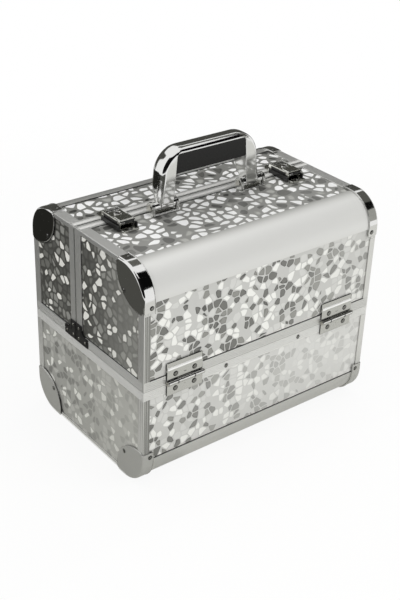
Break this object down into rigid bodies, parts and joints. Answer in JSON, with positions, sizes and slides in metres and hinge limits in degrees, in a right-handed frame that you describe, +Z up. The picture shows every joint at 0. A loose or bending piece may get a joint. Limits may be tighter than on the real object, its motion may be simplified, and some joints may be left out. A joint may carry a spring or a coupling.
{
  "type": "makeup train case",
  "caption": "Silver makeup train case with foil-mosaic panels, rounded metal edges, two hinged top lids, cantilever trays, latches with locks and a folding arch handle.",
  "frame": {"origin": "centre of the case's footprint, on the floor under the bottom corner caps", "axes": "+Z up, +X along the long side, -Y towards the front face"},
  "size_m": [0.345, 0.2366, 0.3515],
  "materials": {
    "foil_panel": "embossed silver foil in a mosaic of pebble cells, white, grey and dark grey",
    "satin_aluminium": "satin anodised extrusion",
    "chrome": "bright chrome plating",
    "nickel_steel": "nickel-plated steel",
    "zinc_steel": "zinc-plated strip steel",
    "black_steel": "black enamel",
    "grip": "black moulded plastic",
    "tray": "black moulded plastic",
    "lining": "black woven lining"
  },
  "bodies": {
    "base": {"base_front_panel": "foil_panel", "base_rear_panel": "foil_panel", "base_left_panel": "foil_panel", "base_right_panel": "foil_panel", "base_bottom_panel": "foil_panel", "base_front_edge": "satin_aluminium", "base_rear_edge": "satin_aluminium", "base_rim": "satin_aluminium", "base_end_frames": "satin_aluminium", "base_corner_caps": "chrome", "base_fasteners": "nickel_steel", "base_lining": "lining", "hinge_lower_leaves": "chrome", "hinge_pins": "nickel_steel", "tray_arm_brackets": "zinc_steel"},
    "front_lid": {"front_lid_front_panel": "foil_panel", "front_lid_top_panel": "foil_panel", "front_lid_left_panel": "foil_panel", "front_lid_right_panel": "foil_panel", "front_lid_round_edge": "satin_aluminium", "front_lid_rim": "satin_aluminium", "front_lid_end_frames": "satin_aluminium", "front_lid_corner_caps": "chrome", "front_lid_fasteners": "nickel_steel", "front_lid_lining": "lining", "front_hinge_upper_leaves": "chrome", "front_lid_split_brackets": "black_steel", "front_tray_pivots": "zinc_steel", "handle_brackets": "chrome", "handle_pins": "nickel_steel", "latch_bases": "chrome", "latch_pins": "nickel_steel"},
    "rear_lid": {"rear_lid_rear_panel": "foil_panel", "rear_lid_top_panel": "foil_panel", "rear_lid_left_panel": "foil_panel", "rear_lid_right_panel": "foil_panel", "rear_lid_round_edge": "satin_aluminium", "rear_lid_rim": "satin_aluminium", "rear_lid_end_frames": "satin_aluminium", "rear_lid_corner_caps": "chrome", "rear_lid_fasteners": "nickel_steel", "rear_lid_lining": "lining", "rear_hinge_upper_leaves": "chrome", "rear_lid_split_brackets": "black_steel", "rear_tray_pivots": "zinc_steel", "latch_keepers": "chrome"},
    "carry_handle": {"handle_arch": "chrome", "handle_grip": "grip"},
    "left_latch": {"left_latch_lever": "chrome"},
    "right_latch": {"right_latch_lever": "chrome"},
    "left_lock": {"left_lock_barrel": "nickel_steel"},
    "right_lock": {"right_lock_barrel": "nickel_steel"},
    "front_tray_lower": {"front_lower_tray": "tray"},
    "front_tray_upper": {"front_upper_tray": "tray"},
    "rear_tray_lower": {"rear_lower_tray": "tray"},
    "rear_tray_upper": {"rear_upper_tray": "tray"},
    "front_arms": {"front_tray_arms": "zinc_steel"},
    "rear_arms": {"rear_tray_arms": "zinc_steel"}
  },
  "joints": [
    {"name": "front_lid_hinge", "type": "hinge", "parent": "base", "child": "front_lid", "pos_m": [0, -0.1155, 0.1345], "axis": [1, 0, 0], "range_deg": [0, 90]},
    {"name": "rear_lid_hinge", "type": "hinge", "parent": "base", "child": "rear_lid", "pos_m": [0, 0.1155, 0.1345], "axis": [-1, 0, 0], "range_deg": [0, 85]},
    {"name": "handle_fold", "type": "hinge", "parent": "front_lid", "child": "carry_handle", "pos_m": [0, 0.0013, 0.286], "axis": [1, 0, 0], "range_deg": [0, 88]},
    {"name": "left_latch_lift", "type": "hinge", "parent": "front_lid", "child": "left_latch", "pos_m": [-0.123, -0.0097, 0.2828], "axis": [1, 0, 0], "range_deg": [0, 60]},
    {"name": "right_latch_lift", "type": "hinge", "parent": "front_lid", "child": "right_latch", "pos_m": [0.123, -0.0097, 0.2828], "axis": [1, 0, 0], "range_deg": [0, 60]},
    {"name": "left_lock_turn", "type": "hinge", "parent": "left_latch", "child": "left_lock", "pos_m": [-0.123, 0.0063, 0.288], "axis": [0, 0, 1], "range_deg": [0, 90]},
    {"name": "right_lock_turn", "type": "hinge", "parent": "right_latch", "child": "right_lock", "pos_m": [0.123, 0.0063, 0.288], "axis": [0, 0, 1], "range_deg": [0, 90]},
    {"name": "front_lower_tray_level", "type": "hinge", "parent": "front_lid", "child": "front_tray_lower", "pos_m": [0, -0.0905, 0.17754], "axis": [-1, 0, 0], "range_deg": [0, 90]},
    {"name": "front_upper_tray_level", "type": "hinge", "parent": "front_lid", "child": "front_tray_upper", "pos_m": [0, -0.0555, 0.2378], "axis": [-1, 0, 0], "range_deg": [0, 90]},
    {"name": "rear_lower_tray_level", "type": "hinge", "parent": "rear_lid", "child": "rear_tray_lower", "pos_m": [0, 0.0905, 0.19032], "axis": [1, 0, 0], "range_deg": [0, 85]},
    {"name": "rear_upper_tray_level", "type": "hinge", "parent": "rear_lid", "child": "rear_tray_upper", "pos_m": [0, 0.067, 0.2428], "axis": [1, 0, 0], "range_deg": [0, 85]},
    {"name": "front_arm_swing", "type": "hinge", "parent": "base", "child": "front_arms", "pos_m": [0, -0.0705, 0.1345], "axis": [1, 0, 0], "range_deg": [0, 90]},
    {"name": "rear_arm_swing", "type": "hinge", "parent": "base", "child": "rear_arms", "pos_m": [0, 0.0825, 0.1345], "axis": [-1, 0, 0], "range_deg": [0, 85]}
  ],
  "couplings": [
    {"joint": "front_lower_tray_level", "follows": "front_lid_hinge", "ratio": 1},
    {"joint": "front_upper_tray_level", "follows": "front_lid_hinge", "ratio": 1},
    {"joint": "front_arm_swing", "follows": "front_lid_hinge", "ratio": 1},
    {"joint": "rear_lower_tray_level", "follows": "rear_lid_hinge", "ratio": 1},
    {"joint": "rear_upper_tray_level", "follows": "rear_lid_hinge", "ratio": 1},
    {"joint": "rear_arm_swing", "follows": "rear_lid_hinge", "ratio": 1}
  ]
}
